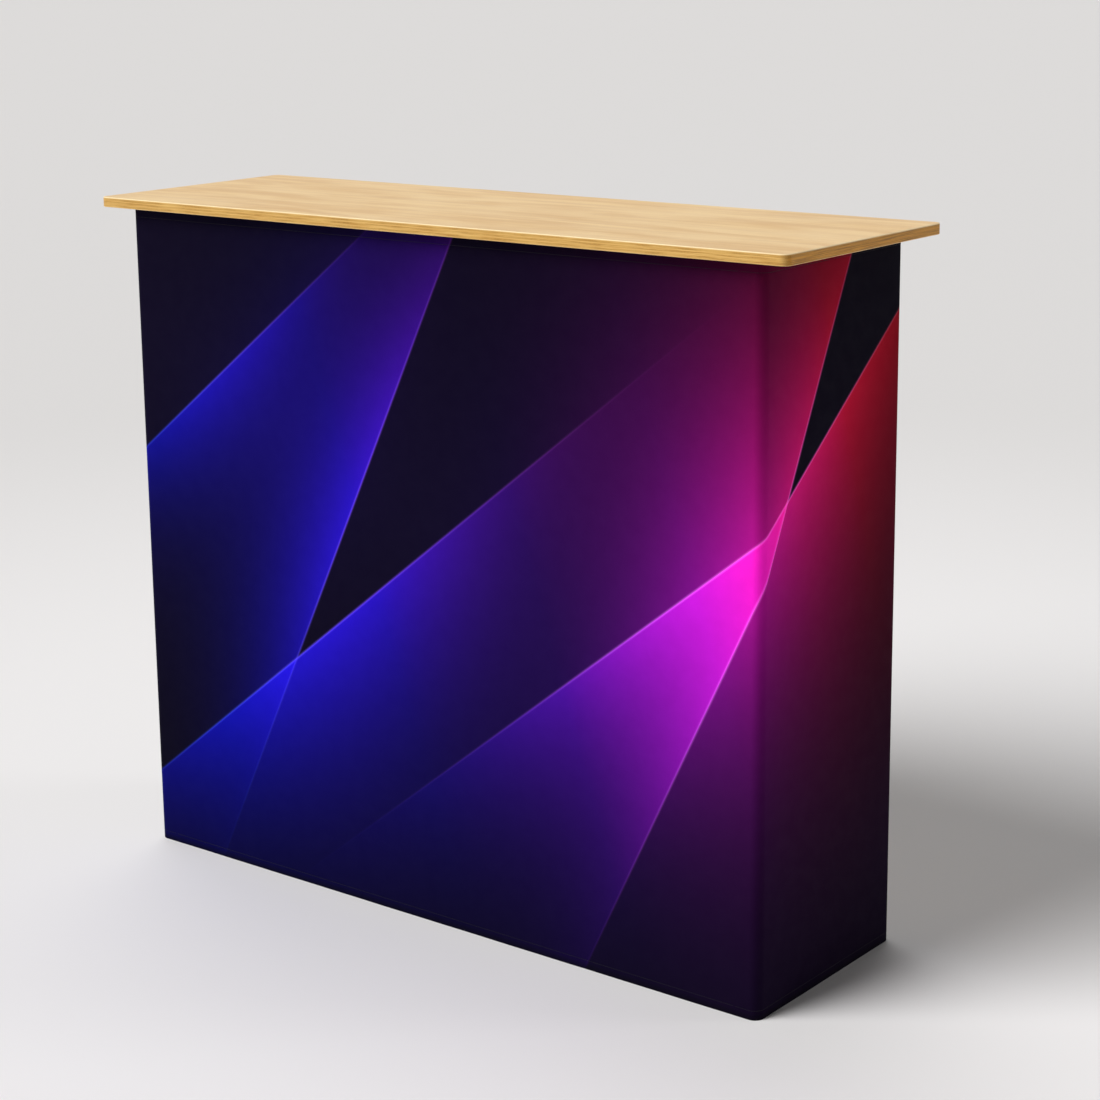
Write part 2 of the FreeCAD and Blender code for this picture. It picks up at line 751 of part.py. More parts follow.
# Worktop: one board with round corners and eased edges, held by pads over the post caps


def make_worktop(name):
    """Board that overhangs the fabric all round."""
    half_length = size.counter_width / 2 + size.worktop_end_overhang
    half_depth = size.counter_depth / 2 + size.worktop_side_overhang
    xs = (-half_length, half_length)
    ys = (-half_depth, half_depth)
    span = (size.counter_height, size.counter_height + size.worktop_thick)
    keep(eased_board(name, xs, ys, span, size.worktop_corner_radius, size.worktop_edge_radius), name)
    loop_pads = []
    for side in (LEFT, RIGHT):
        for end in (FRONT, REAR):
            label = f"{name}_pad_{len(loop_pads)}"
            loop_pads.append(pad_block(label, side, end, (hook_pad_top, size.counter_height)))
    keep(loop_pads, "worktop_loop_pads")


for frame_side in (LEFT, RIGHT):
    make_end_frame(frame_side)
for stay_pair in STAY_PAIRS[:3]:
    make_plain_stays(stay_pair)
make_shelf(STAY_PAIRS[3:])
make_fabric("fabric_wrap")
make_worktop("worktop_board")
doc.recompute()

faults = [item.Label for item in doc.Objects if "Invalid" in item.State or "Error" in item.State]
faults += [item.Label for item in nodes if item.Shape.isNull() or not item.Shape.isValid()]
if faults:
    raise RuntimeError("not built: " + ", ".join(faults))
os.makedirs("parts", exist_ok=True)
for item in nodes:
    item.Shape.exportStep(f"parts/{item.Label}.step")
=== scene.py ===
import math

import bpy
from mathutils import Color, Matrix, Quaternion, Vector


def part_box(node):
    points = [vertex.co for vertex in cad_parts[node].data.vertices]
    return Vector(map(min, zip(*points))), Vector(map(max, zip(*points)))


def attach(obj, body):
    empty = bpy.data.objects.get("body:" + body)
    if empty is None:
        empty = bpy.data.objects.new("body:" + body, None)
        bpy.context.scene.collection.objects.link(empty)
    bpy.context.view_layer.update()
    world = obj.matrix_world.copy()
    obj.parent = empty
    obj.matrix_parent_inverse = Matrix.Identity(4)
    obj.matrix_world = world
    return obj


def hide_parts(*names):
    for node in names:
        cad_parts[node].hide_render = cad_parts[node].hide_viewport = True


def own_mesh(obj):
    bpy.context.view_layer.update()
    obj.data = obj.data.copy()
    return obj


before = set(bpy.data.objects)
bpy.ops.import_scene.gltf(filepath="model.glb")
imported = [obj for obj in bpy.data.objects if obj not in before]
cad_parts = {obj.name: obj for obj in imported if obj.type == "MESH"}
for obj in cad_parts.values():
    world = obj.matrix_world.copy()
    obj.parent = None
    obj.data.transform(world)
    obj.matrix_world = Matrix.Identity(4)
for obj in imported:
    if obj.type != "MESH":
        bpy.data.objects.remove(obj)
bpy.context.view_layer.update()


# End frames. Each end of the counter is two hollow posts and three rails of extruded aluminium,
# welded square and satin anodised. The die leaves faint lines along the length of every piece.

ENDS = ("left", "right")
SATIN_ROUGHNESS = 0.40
DIE_LINE_DEPTH = 0.00004
LINE_SHARE = 0.55


class Tree:
    """A node tree written as a run of calls: each adds a node or two and gives back an output."""

    def __init__(self, tree):
        self.tree = tree

    def feed(self, socket, value):
        """Link another node's output to a socket, or set the socket's own value."""
        if isinstance(value, bpy.types.NodeSocket):
            self.tree.links.new(value, socket)
        else:
            socket.default_value = value

    def add(self, kind, inputs=(), **settings):
        """Add a node. Inputs is a dict by socket name or number, or a list in socket order."""
        made = self.tree.nodes.new(kind)
        for name, value in settings.items():
            setattr(made, name, value)
        pairs = inputs.items() if isinstance(inputs, dict) else enumerate(inputs)
        for key, value in pairs:
            self.feed(made.inputs[key], value)
        return made

    def calc(self, operation, *values):
        """Arithmetic on plain values."""
        return self.add("ShaderNodeMath", values, operation=operation).outputs[0]

    def vector(self, operation, *values):
        """Arithmetic on vectors. A length or a dot product comes out as a plain value."""
        made = self.add("ShaderNodeVectorMath", values, operation=operation)
        return made.outputs["Value" if operation in ("LENGTH", "DOT_PRODUCT") else "Vector"]

    def product(self, first, *others):
        """Values multiplied together."""
        for other in others:
            first = self.calc("MULTIPLY", first, other)
        return first

    def total(self, *terms):
        """Values added up, each with its weight."""
        added, *others = [self.calc("MULTIPLY", value, weight) for value, weight in terms]
        for other in others:
            added = self.calc("ADD", added, other)
        return added

    def noise(self, place, fineness, detail=4.0, roughness=0.5, distortion=0.0):
        """Smooth noise, its fineness in grains a metre along x, y and z."""
        inputs = {"Vector": self.vector("MULTIPLY", place, fineness), "Scale": 1.0, "Detail": detail,
                  "Roughness": roughness, "Distortion": distortion}
        return self.add("ShaderNodeTexNoise", inputs).outputs[0]

    def band(self, value, low, high, out_low=0.0, out_high=1.0):
        """Carry a value smoothly from one range to another."""
        inputs = {"Value": value, "From Min": low, "From Max": high, "To Min": out_low, "To Max": out_high}
        return self.add("ShaderNodeMapRange", inputs, interpolation_type="SMOOTHSTEP").outputs[0]

    def between(self, share, one, other):
        """A value part of the way from one to another."""
        return self.add("ShaderNodeMix", {0: share, 2: one, 3: other}, data_type="FLOAT").outputs[0]

    def mix(self, share, one, other, blend="MIX"):
        """A colour part of the way from one to another."""
        inputs = {0: share, 6: one, 7: other}
        return self.add("ShaderNodeMix", inputs, data_type="RGBA", blend_type=blend).outputs[2]

    def ramp(self, value, stops):
        """Colours along a value, each stop a place and a colour."""
        made = self.add("ShaderNodeValToRGB", (value,))
        elements = made.color_ramp.elements
        while len(elements) < len(stops):
            elements.new(1.0)
        for element, (place, colour) in zip(elements, stops):
            element.position = place
            element.color = colour
        return made.outputs[0]

    def bump(self, height, strength, distance):
        """Normals of fine relief, its depth in metres."""
        inputs = {"Strength": strength, "Distance": distance, "Height": height}
        return self.add("ShaderNodeBump", inputs).outputs[0]

    def place(self):
        """Where a point is on the counter, in metres."""
        return self.add("ShaderNodeTexCoord").outputs["Object"]

    def parts(self, vector):
        """A vector's x, y and z."""
        return self.add("ShaderNodeSeparateXYZ", (vector,)).outputs


def tone(red, green, blue):
    """A colour as it looks on a screen, 0 to 255, for a shader socket."""
    screen = Color((red / 255, green / 255, blue / 255))
    return (*screen.from_srgb_to_scene_linear(), 1.0)


def new_group(name, inputs, outputs):
    """Shader node group with named sockets: a type by name, and a starting value for an input."""
    group = bpy.data.node_groups.new(name, "ShaderNodeTree")
    for label, (kind, value) in inputs.items():
        socket = group.interface.new_socket(label, in_out="INPUT", socket_type=f"NodeSocket{kind}")
        socket.default_value = value
    for label, kind in outputs.items():
        group.interface.new_socket(label, in_out="OUTPUT", socket_type=f"NodeSocket{kind}")
    given = group.nodes.new("NodeGroupInput").outputs
    out = group.nodes.new("NodeGroupOutput").inputs
    return group, Tree(group), given, out


def use_group(tree, group, **values):
    """Place a group in a material with its own values and give back its outputs."""
    made = tree.add("ShaderNodeGroup", node_tree=group)
    for label, value in values.items():
        tree.feed(made.inputs[label.replace("_", " ")], value)
    return made.outputs


def new_material(name, **constants):
    """Material with one Principled shader, whose even values are set on its own sockets."""
    material = bpy.data.materials.new(name)
    material.use_nodes = True
    shader = material.node_tree.nodes["Principled BSDF"]
    for label, value in constants.items():
        shader.inputs[label.replace("_", " ")].default_value = value
    return material, Tree(material.node_tree), shader.inputs


def dress(material, *names):
    """Give a material to CAD nodes."""
    for name in names:
        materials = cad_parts[name].data.materials
        materials.clear()
        materials.append(material)


def make_worn_edges():
    """Mask that is bright where an edge is rubbed, and patchy along it."""
    group, tree, given, out = new_group(
        "worn_edges", {"Reach": ("Float", 0.001), "Amount": ("Float", 0.5)}, {"Mask": "Float"})
    rounded = tree.add("ShaderNodeBevel", {"Radius": given["Reach"]}, samples=4).outputs[0]
    flat = tree.add("ShaderNodeNewGeometry").outputs["Normal"]
    edge = tree.band(tree.vector("DOT_PRODUCT", rounded, flat), low=0.995, high=0.86)
    patches = tree.band(tree.noise(tree.place(), fineness=(90, 90, 90)), low=0.35, high=0.7)
    tree.feed(out["Mask"], tree.product(edge, patches, given["Amount"]))
    return group


def make_drawn_lines():
    """Fine lines along one way, as a die or a brush leaves them, with a slow drift in tone."""
    group, tree, given, out = new_group(
        "drawn_lines", {"Fineness": ("Vector", (900, 900, 4))}, {"Lines": "Float", "Drift": "Float"})
    place = tree.place()
    tree.feed(out["Lines"], tree.noise(place, given["Fineness"], detail=3, roughness=0.6))
    tree.feed(out["Drift"], tree.noise(place, fineness=(7, 7, 7), detail=2))
    return group


worn_edges = make_worn_edges()
drawn_lines = make_drawn_lines()


def anodised(name, fineness, light, dark, roughness, line_depth):
    """Anodised aluminium with lines along the piece and rubbed edges."""
    material, tree, shader = new_material(name, Metallic=1.0)
    lines, drift = use_group(tree, drawn_lines, Fineness=fineness)
    worn = use_group(tree, worn_edges, Reach=0.0012, Amount=0.6)["Mask"]
    film = tree.total((lines, LINE_SHARE), (drift, 1 - LINE_SHARE))
    colour = tree.mix(tree.band(film, low=0.3, high=0.7), dark, light)
    tree.feed(shader["Base Color"], tree.mix(worn, colour, tone(236, 237, 238)))
    satin = tree.band(film, low=0.25, high=0.75, out_low=roughness + 0.07, out_high=roughness - 0.05)
    tree.feed(shader["Roughness"], satin)
    tree.feed(shader["Normal"], tree.bump(lines, strength=0.35, distance=line_depth))
    return material


post_metal = anodised(
    "satin_post", fineness=(900, 900, 5), light=tone(214, 215, 217), dark=tone(196, 197, 200),
    roughness=SATIN_ROUGHNESS, line_depth=DIE_LINE_DEPTH)
rail_metal = anodised(
    "satin_rail", fineness=(900, 5, 900), light=tone(212, 213, 215), dark=tone(194, 195, 198),
    roughness=SATIN_ROUGHNESS, line_depth=DIE_LINE_DEPTH)
for end in ENDS:
    dress(post_metal, f"{end}_front_post", f"{end}_rear_post")
    dress(rail_metal, f"{end}_top_rail", f"{end}_shelf_rail", f"{end}_bottom_rail")


# Post caps and foot glides. Black moulded plastic plugs, pressed into both ends of each post, with a
# fine spark-eroded grain. The glides are scuffed pale where they slide on the floor.

GRAIN_DEPTH = 0.00012
SCUFF_SHARE = 0.5


def make_moulded_grain():
    """Height of a fine moulded grain and a mask of light scuffs."""
    group, tree, given, out = new_group(
        "moulded_grain", {"Fineness": ("Vector", (2200, 2200, 2200))},
        {"Height": "Float", "Scuffs": "Float"})
    place = tree.place()
    tree.feed(out["Height"], tree.noise(place, given["Fineness"], detail=2))
    scuffs = tree.noise(place, fineness=(300, 60, 300), detail=5)
    tree.feed(out["Scuffs"], tree.band(scuffs, low=0.58, high=0.8))
    return group


moulded_grain = make_moulded_grain()


def moulded(name, colour, scuff_colour):
    """Black plastic with its grain and a few scuffs."""
    material, tree, shader = new_material(name, Specular_IOR_Level=0.45)
    height, scuffs = use_group(tree, moulded_grain)
    tree.feed(shader["Base Color"], tree.mix(tree.product(scuffs, SCUFF_SHARE), colour, scuff_colour))
    tree.feed(shader["Roughness"], tree.band(height, low=0.3, high=0.7, out_low=0.46, out_high=0.62))
    tree.feed(shader["Normal"], tree.bump(height, strength=0.4, distance=GRAIN_DEPTH))
    return material


cap_plastic = moulded("cap_plastic", tone(30, 30, 32), tone(66, 66, 68))
glide_plastic = moulded("glide_plastic", tone(24, 24, 26), tone(104, 102, 100))
for end in ENDS:
    dress(cap_plastic, f"{end}_post_caps")
    dress(glide_plastic, f"{end}_foot_glides")


# Brackets and stays. The stays are flat aluminium bar with round ends, brushed along their length,
# lapped in pairs so that the frame folds. Brackets on the posts and rails carry their outer ends.

STAY_PAIRS = ("front_top", "rear_top", "front_bottom")
BRUSH_LINE_DEPTH = 0.00005
stay_metal = anodised(
    "brushed_stay", fineness=(6, 1100, 1100), light=tone(206, 207, 210), dark=tone(184, 185, 189),
    roughness=0.34, line_depth=BRUSH_LINE_DEPTH)
bracket_metal = anodised(
    "brushed_bracket", fineness=(1000, 1000, 7), light=tone(200, 201, 204), dark=tone(180, 181, 185),
    roughness=0.38, line_depth=BRUSH_LINE_DEPTH)
for end in ENDS:
    dress(bracket_metal, f"{end}_brackets")
    dress(stay_metal, f"shelf_{end}_stays", f"shelf_{end}_angles")
    dress(stay_metal, *[f"{pair}_{end}_stay" for pair in STAY_PAIRS])


# Rivets and screws. Zinc-plated steel: blind rivets hold the brackets, solid rivets are the pivots,
# and pan-head screws hold the shelf. The plating is faintly yellow and dulls in patches.


def plated(name, bright, dull):
    """Zinc plating, patchy and worn bright on its edges."""
    material, tree, shader = new_material(name, Metallic=1.0)
    patches = tree.noise(tree.place(), fineness=(420, 420, 420), roughness=0.65)
    worn = use_group(tree, worn_edges, Reach=0.0006, Amount=0.7)["Mask"]
    colour = tree.mix(tree.band(patches, low=0.3, high=0.72), bright, dull)
    tree.feed(shader["Base Color"], tree.mix(worn, colour, tone(240, 240, 238)))
    tree.feed(shader["Roughness"], tree.band(patches, low=0.25, high=0.75, out_low=0.24, out_high=0.42))
    return material


zinc = plated("zinc_plate", tone(205, 205, 202), tone(160, 160, 154))
for end in ENDS:
    dress(zinc, f"{end}_bracket_rivets", f"{end}_pivot_rivets")
    dress(zinc, f"shelf_{end}_angle_rivets", f"shelf_{end}_screws")
dress(zinc, "shelf_centre_rivets", *[f"{pair}_centre_rivet" for pair in STAY_PAIRS])


# Hook tapes and pads. Black woven nylon: hook tape down the posts holds the fabric, and hook pads on
# the caps meet soft loop pads under the worktop. The hooks stand in rows and the loops are a fuzz.


def tape_cloth(name, colour, pile_colour, fineness, depth):
    """Woven tape with its pile."""
    material, tree, shader = new_material(name, Roughness=0.85, Specular_IOR_Level=0.25, Sheen_Weight=0.15)
    pile = tree.noise(tree.place(), (fineness, fineness, fineness), detail=2, roughness=0.7)
    tree.feed(shader["Base Color"], tree.mix(tree.band(pile, low=0.35, high=0.7), colour, pile_colour))
    tree.feed(shader["Normal"], tree.bump(pile, strength=0.8, distance=depth))
    return material


hook_tape = tape_cloth("hook_tape", tone(18, 18, 19), tone(44, 44, 46), fineness=900, depth=0.0006)
loop_pile = tape_cloth("loop_pile", tone(22, 22, 23), tone(52, 52, 54), fineness=2400, depth=0.0004)
for end in ENDS:
    dress(hook_tape, f"{end}_hook_tapes", f"{end}_hook_pads")
dress(loop_pile, "worktop_loop_pads")


# Shelf. Two boards of thin birch plywood, butted over the middle hinge so that they lock level under
# load. They are sealed but not stained, so they are paler and duller than the worktop.

SHELF_PLIES = 5.0
SHELF_ROUGHNESS = 0.55
GRAIN_RELIEF = 0.00015
# The rings' turn across the board, in radians a metre, and how far their sway bends them.
RING_TURN = 62.0
RING_SWAY = 34.0
PORE_SHARE = 0.40
# The plies' wander is in plies. The shares are how strongly each colour covers the edge.
PLY_WANDER = 0.22
END_PLY_SHARE = 0.62
GLUE_SHARE = 0.36
CROSS_PLY_SHARE = 0.85


def make_plywood():
    """Face veneer with its figure, the layers and glue lines that show along a sawn edge, and a painted
    highlight along the upper arris.
    """
    group, tree, given, out = new_group("plywood", {
        "Bottom": ("Float", 0.0), "Thickness": ("Float", 0.015), "Plies": ("Float", 9.0),
        "Pale": ("Color", tone(239, 206, 151)), "Warm": ("Color", tone(218, 175, 113)),
        "Pore": ("Color", tone(190, 141, 81)), "Arris": ("Color", tone(255, 237, 192)),
        "Long Ply": ("Color", tone(227, 186, 110)), "End Ply": ("Color", tone(184, 132, 56)),
        "Cross Ply": ("Color", tone(210, 145, 40)), "Glue": ("Color", tone(124, 82, 28)),
    }, {"Color": "Color", "Height": "Float", "Sheen": "Float"})
    place = tree.place()
    _, y, z = tree.parts(place)
    # The veneer is peeled from a turning log, so its figure is long ovals stretched along the board.
    sway = tree.noise(place, fineness=(1.3, 5.0, 1.0), detail=3, roughness=0.55)
    streaks = tree.noise(place, fineness=(3.2, 60, 1.0), detail=5, roughness=0.62, distortion=0.3)
    blotch = tree.noise(place, fineness=(5.0, 11.0, 1.0), roughness=0.6)
    pits = tree.noise(place, fineness=(46, 1150, 1.0), detail=3, roughness=0.7)
    pores = tree.band(pits, low=0.57, high=0.70)
    rings = tree.calc("SINE", tree.total((y, RING_TURN), (sway, RING_SWAY)))
    figure = tree.total((streaks, 0.55), (blotch, 0.45), (rings, 0.05))
    veneer = tree.mix(tree.band(figure, low=0.34, high=0.68), given["Pale"], given["Warm"])
    veneer = tree.mix(tree.product(pores, PORE_SHARE), veneer, given["Pore"])
    # Along an edge the plies alternate between long grain and end grain, and swap over at the board's
    # ends. Round a corner one passes smoothly into the other.
    facing_x, facing_y, facing_z = tree.parts(tree.add("ShaderNodeNewGeometry").outputs["Normal"])
    turned = tree.calc("SUBTRACT", tree.calc("ABSOLUTE", facing_x), tree.calc("ABSOLUTE", facing_y))
    sideways = tree.band(turned, low=-0.7, high=0.7)
    depth = tree.calc("DIVIDE", tree.calc("SUBTRACT", z, given["Bottom"]), given["Thickness"])
    wander = tree.calc("SUBTRACT", tree.noise(place, fineness=(9, 9, 2), detail=2), 0.5)
    count = tree.total((depth, given["Plies"]), (wander, PLY_WANDER))
    odd = tree.calc("PINGPONG", tree.calc("ADD", tree.calc("FLOOR", count), sideways), 1.0)
    within = tree.calc("FRACT", count)
    seam = tree.calc("MINIMUM", within, tree.calc("SUBTRACT", 1.0, within))
    glue = tree.band(seam, low=0.16, high=0.02)
    long_grain = tree.noise(place, fineness=(16, 16, 1500), roughness=0.65)
    end_grain = tree.noise(place, fineness=(700, 700, 900), detail=3, roughness=0.7)
    fading = tree.noise(place, fineness=(21, 21, 260), detail=3)
    faint = tree.band(fading, low=0.35, high=0.65, out_low=0.15)
    cut = tree.mix(sideways, given["End Ply"], given["Cross Ply"])
    streaked = tree.band(tree.between(sideways, end_grain, long_grain), low=0.38, high=0.68)
    end_ply = tree.mix(streaked, cut, given["Glue"])
    long_ply = tree.mix(tree.band(long_grain, low=0.35, high=0.75), given["Long Ply"], given["End Ply"])
    sawn = tree.mix(tree.product(odd, faint, END_PLY_SHARE), long_ply, end_ply)
    sawn = tree.mix(tree.product(glue, faint, GLUE_SHARE), sawn, given["Glue"])
    sawn = tree.mix(tree.product(sideways, CROSS_PLY_SHARE), sawn, end_ply)
    # Along the upper arris the colour is painted pale in streaks: a painted highlight where the eased edge
    # catches the light.
    upright = tree.calc("ABSOLUTE", facing_z)
    face = tree.band(upright, low=0.10, high=0.45)
    at_arris = tree.band(depth, low=0.86, high=0.97)
    eased = tree.band(upright, low=0.998, high=0.95, out_high=0.85)
    arris_highlight = tree.product(at_arris, eased, tree.band(long_grain, low=0.30, high=0.62, out_low=0.55))
    tree.feed(out["Color"], tree.mix(arris_highlight, tree.mix(face, sawn, veneer), given["Arris"]))
    edge_height = tree.total((end_grain, odd), (glue, -0.6))
    face_height = tree.calc("SUBTRACT", tree.product(streaks, 0.5), pores)
    tree.feed(out["Height"], tree.between(face, edge_height, face_height))
    tree.feed(out["Sheen"], tree.total((streaks, 0.6), (odd, 0.2)))
    return group


plywood = make_plywood()


def board(name, node, roughness, **values):
    """Plywood for one board, whose layers are counted from its own underside."""
    material, tree, shader = new_material(name, Specular_IOR_Level=0.2)
    low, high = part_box(node)
    colour, height, sheen = use_group(tree, plywood, Bottom=low.z, Thickness=high.z - low.z, **values)
    tree.feed(shader["Base Color"], colour)
    satin = tree.band(sheen, low=0.2, high=0.6, out_low=roughness + 0.06, out_high=roughness - 0.06)
    tree.feed(shader["Roughness"], satin)
    tree.feed(shader["Normal"], tree.bump(height, strength=0.25, distance=GRAIN_RELIEF))
    return material


for end in ENDS:
    node = f"shelf_{end}_board"
    # Arris is the colour of the painted highlight along each board's upper edge.
    sealed = board(
        f"shelf_{end}_ply", node, SHELF_ROUGHNESS, Plies=SHELF_PLIES, Pale=tone(236, 214, 180),
        Warm=tone(220, 192, 152), Pore=tone(186, 150, 108), Arris=tone(242, 226, 198),
        Long_Ply=tone(230, 202, 156), End_Ply=tone(196, 160, 112), Cross_Ply=tone(196, 160, 112),
        Glue=tone(150, 116, 76))
    dress(sealed, node)


# Fabric wrap. One sheet of knitted polyester, dye-printed, hemmed on all four edges and stretched
# round the front and both ends, where hook tape on the posts holds it. Its back is unprinted. Each end
# stays on its posts, and the front between them gathers when the frame folds.

CORNER_RADIUS = 0.015
CORNER_STEPS = 12
QUARTER_TURN = math.pi / 2
RETURN_WIDTH = 0.038
FLOOR_GAP = 0.0002
FLAT_STEP = 0.022
SHEET_THICK = 0.0008
RIM_ANGLE = math.radians(60)
# A hem is folded over once. The mesh has points across it at its rim, its middle, where the fold steps
# down to the plain sheet, and just beyond.
HEM_WIDTH = 0.014
HEM_THICK = 0.0012
HEM_FOLD = 0.0008
HEM_MIDDLE = 0.006
HEM_STEP = 0.0012
HEM_INSETS = (0.0, HEM_STEP, HEM_MIDDLE, HEM_WIDTH - 2 * HEM_FOLD, HEM_WIDTH - HEM_FOLD, HEM_WIDTH,
              HEM_WIDTH + HEM_STEP)
STITCH_INSET = 0.0008
STITCH_GROOVE = 0.00018
GROOVE_WIDTH = 0.0007
STITCH_PITCH = 0.0034
STITCH_LENGTH = 0.0027
THREAD_RADIUS = 0.00028
THREAD_SIDES = 6
# Along a stitch: place as a share of its length, thickness as a share of the thread's, lift in radii.
THREAD_RINGS = ((-0.5, 0.35, -1.0), (-0.3, 1.0, 0.1), (0.3, 1.0, 0.1), (0.5, 0.35, -1.0))
# Near the hems the cloth puckers a little, in two waves along the sheet, one of which also runs up it.
# Their turns are in radians a metre.
PUCKER_DEPTH = 0.00022
PUCKER_REACH = 0.05
PUCKER_WAVE = 41
PUCKER_START = 1.3
PUCKER_DRIFT = (17, 9)
wrap_low, wrap_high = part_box("fabric_wrap")
wrap_low.z = FLOOR_GAP


def wrap_path():
    """Places along the sheet's outer face from its left edge to its right: point, outward way, length."""
    turns = ((-1, 1), (-1, -1), (1, -1), (1, 1))
    half = Vector((wrap_high.x, wrap_high.y))
    stops = [(Vector((-half.x + RETURN_WIDTH, half.y)), Vector((0, 1)))]
    for number, (side, rear) in enumerate(turns):
        centre = Vector(((half.x - CORNER_RADIUS) * side, (half.y - CORNER_RADIUS) * rear))
        begin = QUARTER_TURN + number * QUARTER_TURN
        for step in range(CORNER_STEPS + 1):
            angle = begin + QUARTER_TURN * step / CORNER_STEPS
            way = Vector((math.cos(angle), math.sin(angle)))
            stops.append((centre + way * CORNER_RADIUS, way))
    stops.append((Vector((half.x - RETURN_WIDTH, half.y)), Vector((0, 1))))
    path = []
    travelled = 0.0
    for (start, way), (end, end_way) in zip(stops, stops[1:]):
        run = (end - start).length
        parts = max(1, math.ceil(run / FLAT_STEP)) if way == end_way else 1
        for part in range(parts):
            path.append((start.lerp(end, part / parts), way, travelled + run * part / parts))
        travelled += run
    path.append((*stops[-1], travelled))
    return path


path = wrap_path()
sheet_length = path[-1][2]
sheet_height = wrap_high.z - wrap_low.z


def spread(low_end, high_end):
    """Even places between two ends, with closer ones near both for the hems."""
    near = [low_end + inset for inset in HEM_INSETS]
    far = [high_end - inset for inset in reversed(HEM_INSETS)]
    count = math.ceil((far[0] - near[-1]) / FLAT_STEP)
    middle = [near[-1] + (far[0] - near[-1]) * n / count for n in range(1, count)]
    return near + middle + far


heights = spread(wrap_low.z, wrap_high.z)
columns = list(path)
for inset in HEM_INSETS[1:]:
    for (point, way, along), sign in ((path[0], 1), (path[-1], -1)):
        columns.append((point + Vector((-inset * sign, 0)), way, along + inset * sign))
columns.sort(key=lambda column: column[2])


def hem_depth(inset):
    """How far a point is into the hem that is nearest: 1 at the edge, 0 on the plain sheet."""
    return max(0.0, min(1.0, (HEM_WIDTH - inset) / HEM_FOLD))


def sheet_point(place, way, along, height):
    """Outer and inner point of the sheet. Hems are folded inwards, so they thicken the inner side."""
    inset = min(along, sheet_length - along, height - wrap_low.z, wrap_high.z - height)
    seam = math.exp(-((inset - HEM_WIDTH + STITCH_INSET) / GROOVE_WIDTH) ** 2)
    waves = math.sin(along * PUCKER_WAVE + PUCKER_START)
    waves *= math.sin(along * PUCKER_DRIFT[0] + height * PUCKER_DRIFT[1])
    pucker = PUCKER_DEPTH * math.exp(-inset / PUCKER_REACH) * (1 + waves)
    outer = place - way * (STITCH_GROOVE * seam + pucker)
    inner = place - way * (SHEET_THICK + (HEM_THICK - SHEET_THICK) * hem_depth(inset))
    return (*outer, height), (*inner, height)


def add_piece(name, points, faces, material):
    """New piece from its points and faces, shaded smooth."""
    mesh = bpy.data.meshes.new(name)
    mesh.from_pydata(points, [], faces)
    mesh.shade_smooth()
    mesh.materials.append(material)
    piece = bpy.data.objects.new(name, mesh)
    bpy.context.scene.collection.objects.link(piece)
    return piece


def cut_length(name, strip, material):
    """One length of the sheet as a closed mesh: its outer face, its inner face and a rim all round."""
    outer_points, inner_points, sheet_places = [], [], []
    for point, way, along in strip:
        for height in heights:
            outer, inner = sheet_point(point, way, along, height)
            outer_points.append(outer)
            inner_points.append(inner)
            sheet_places.append((along, height - wrap_low.z))
    rows = len(heights)
    last = len(strip) - 1
    offset = len(outer_points)
    faces = []
    for column in range(last):
        for row in range(rows - 1):
            a = column * rows + row
            b = a + rows
            faces.append((a, b, b + 1, a + 1))
            faces.append((offset + a, offset + a + 1, offset + b + 1, offset + b))
        for row, flip in ((0, False), (rows - 1, True)):
            a = column * rows + row
            b = a + rows
            rim = (a, offset + a, offset + b, b)
            faces.append(rim[::-1] if flip else rim)
    for column, flip in ((0, False), (last, True)):
        for row in range(rows - 1):
            a = column * rows + row
            rim = (a, a + 1, offset + a + 1, offset + a)
            faces.append(rim[::-1] if flip else rim)
    piece = add_piece(name, outer_points + inner_points, faces, material)
    piece.data.set_sharp_from_angle(angle=RIM_ANGLE)
    # Place along the sheet and up it, and 0 on the printed face or 1 on the back.
    where = piece.data.attributes.new("sheet_place", "FLOAT_VECTOR", "POINT")
    for number, (along, height) in enumerate(sheet_places):
        where.data[number].vector = (along, height, 0.0)
        where.data[offset + number].vector = (along, height, 1.0)
    piece.data.update()
    return piece


# Blades of the print: where the line starts, from the front right corner and the foot, its slope in
# degrees, which side it lights, how far it fades, and where along it, how far and how strongly it glows.
BLADES = (
    ((-1.13, 0.10), 38, -1, 0.105, 0.46, 0.38, 0.80),
    ((-0.62, 0.16), 38, -1, 0.115, 0.76, 0.42, 0.95),
    ((-0.98, 0.00), 64, 1, 0.080, 0.66, 0.34, 0.70),
    ((-0.28, 0.00), 64, 1, 0.105, 0.68, 0.36, 0.90),
    ((-1.13, 0.62), 38, -1, 0.075, 0.20, 0.26, 0.55),
)
BLADE_EDGE = 0.0008
BLADE_LINE = 0.0016
GLOW_INKS = (
    (0.00, tone(12, 17, 214)), (0.26, tone(44, 16, 226)), (0.46, tone(100, 14, 210)),
    (0.64, tone(190, 20, 204)), (0.78, tone(240, 24, 140)), (0.88, tone(250, 22, 70)),
    (1.00, tone(240, 16, 34)),
)
LINE_INKS = (
    (0.0, tone(70, 90, 255)), (0.4, tone(150, 80, 255)), (0.7, tone(255, 110, 255)),
    (1.0, tone(255, 110, 130)),
)
GROUND_INKS = ((0.0, tone(4, 2, 11)), (0.5, tone(12, 6, 29)), (1.0, tone(5, 2, 14)))
# The light runs through 0.92 of its inks in 1.40 m along the sheet, and a little further up it, counted
# from half its height. The dark ground changes mostly upwards. Both start near the front left corner.
GLOW_ALONG = 0.92 / 1.40
GLOW_UP = 0.22
GLOW_START = -1.05
GLOW_MIDDLE = 0.5
GROUND_ALONG = 0.28
GROUND_UP = 0.6
GROUND_START = -1.1
LINE_INK_SHARE = 0.5
SOAK_SHARE = 0.30
NO_INK = tone(0, 0, 0)
# Height of the painted shade along the foot of the print.
FOOT_PAINTED_SHADE = 0.012
KNIT_PITCH = 0.0009
KNIT_LEAN = 0.9
KNIT_RELIEF = 0.00012


